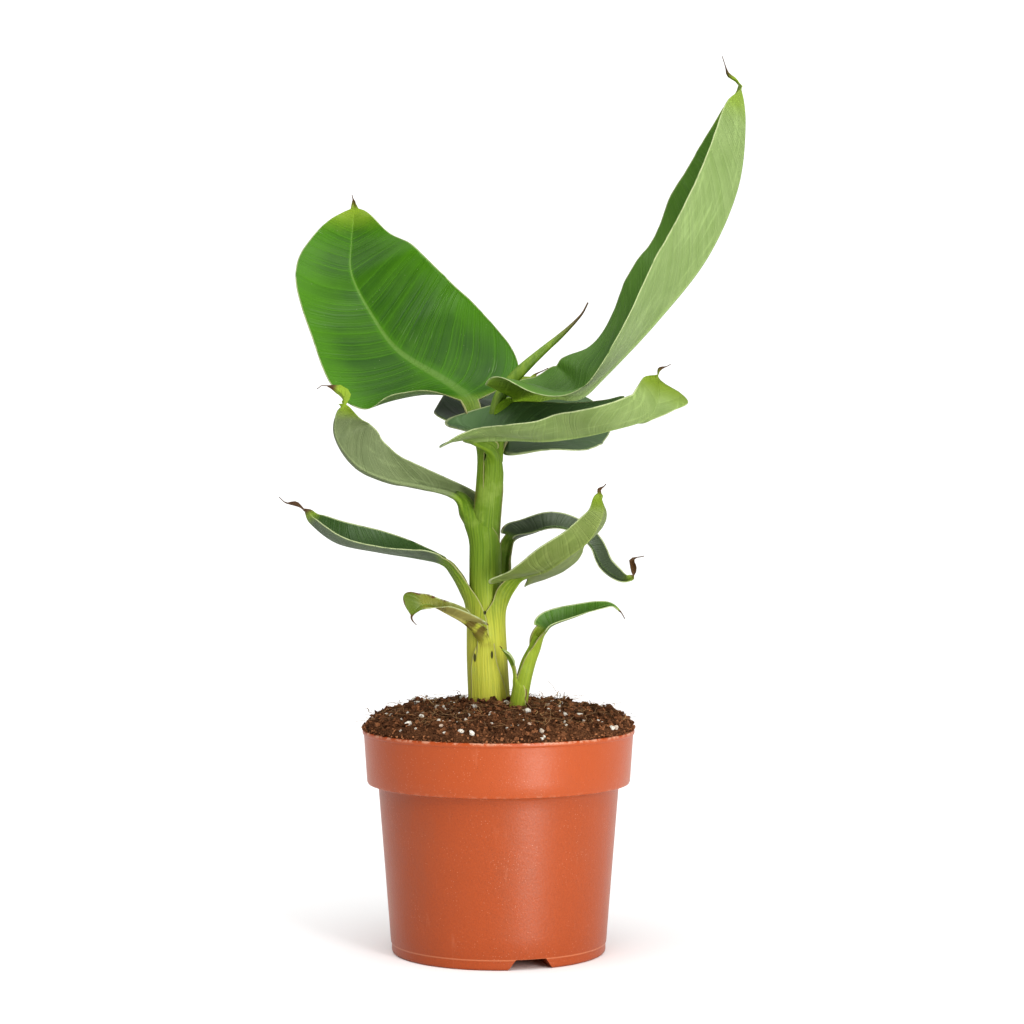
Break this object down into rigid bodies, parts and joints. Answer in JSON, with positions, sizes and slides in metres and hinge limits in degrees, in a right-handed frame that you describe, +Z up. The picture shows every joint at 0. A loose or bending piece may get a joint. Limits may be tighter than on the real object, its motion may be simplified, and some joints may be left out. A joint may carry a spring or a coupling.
{
  "type": "potted banana plant",
  "caption": "Young banana plant in a filled round plastic nursery pot: a stem of overlapping leaf sheaths, broad folded leaves, an unopened spear leaf and a small side shoot.",
  "frame": {"origin": "centre of the pot's flat underside", "axes": "+Z up along the stem, -Y towards the plant's front, +X to the right seen from the front"},
  "size_m": [0.2915, 0.2516, 0.5555],
  "materials": {
    "terracotta_plastic": "satin, terracotta orange",
    "potting_mix": "rough, dark brown, with white perlite",
    "banana_stem": "smooth, yellow-green",
    "banana_leaf": "satin, dark green above, paler and bloomed below"
  },
  "bodies": {
    "root": {"pot": "terracotta_plastic", "soil": "potting_mix", "pseudostem": "banana_stem", "spear_leaf": "banana_stem", "sucker_stem": "banana_stem", "leaf_1_oldest_front_left": "banana_leaf", "leaf_2_low_left": "banana_leaf", "leaf_3_low_right_front": "banana_leaf", "leaf_4_low_right_back": "banana_leaf", "leaf_5_middle_left": "banana_leaf", "leaf_6_back": "banana_leaf", "leaf_7_front": "banana_leaf", "leaf_8_tall_left": "banana_leaf", "leaf_9_tall_right": "banana_leaf", "sucker_leaf": "banana_leaf", "sucker_scale_leaf": "banana_leaf"}
  },
  "joints": []
}
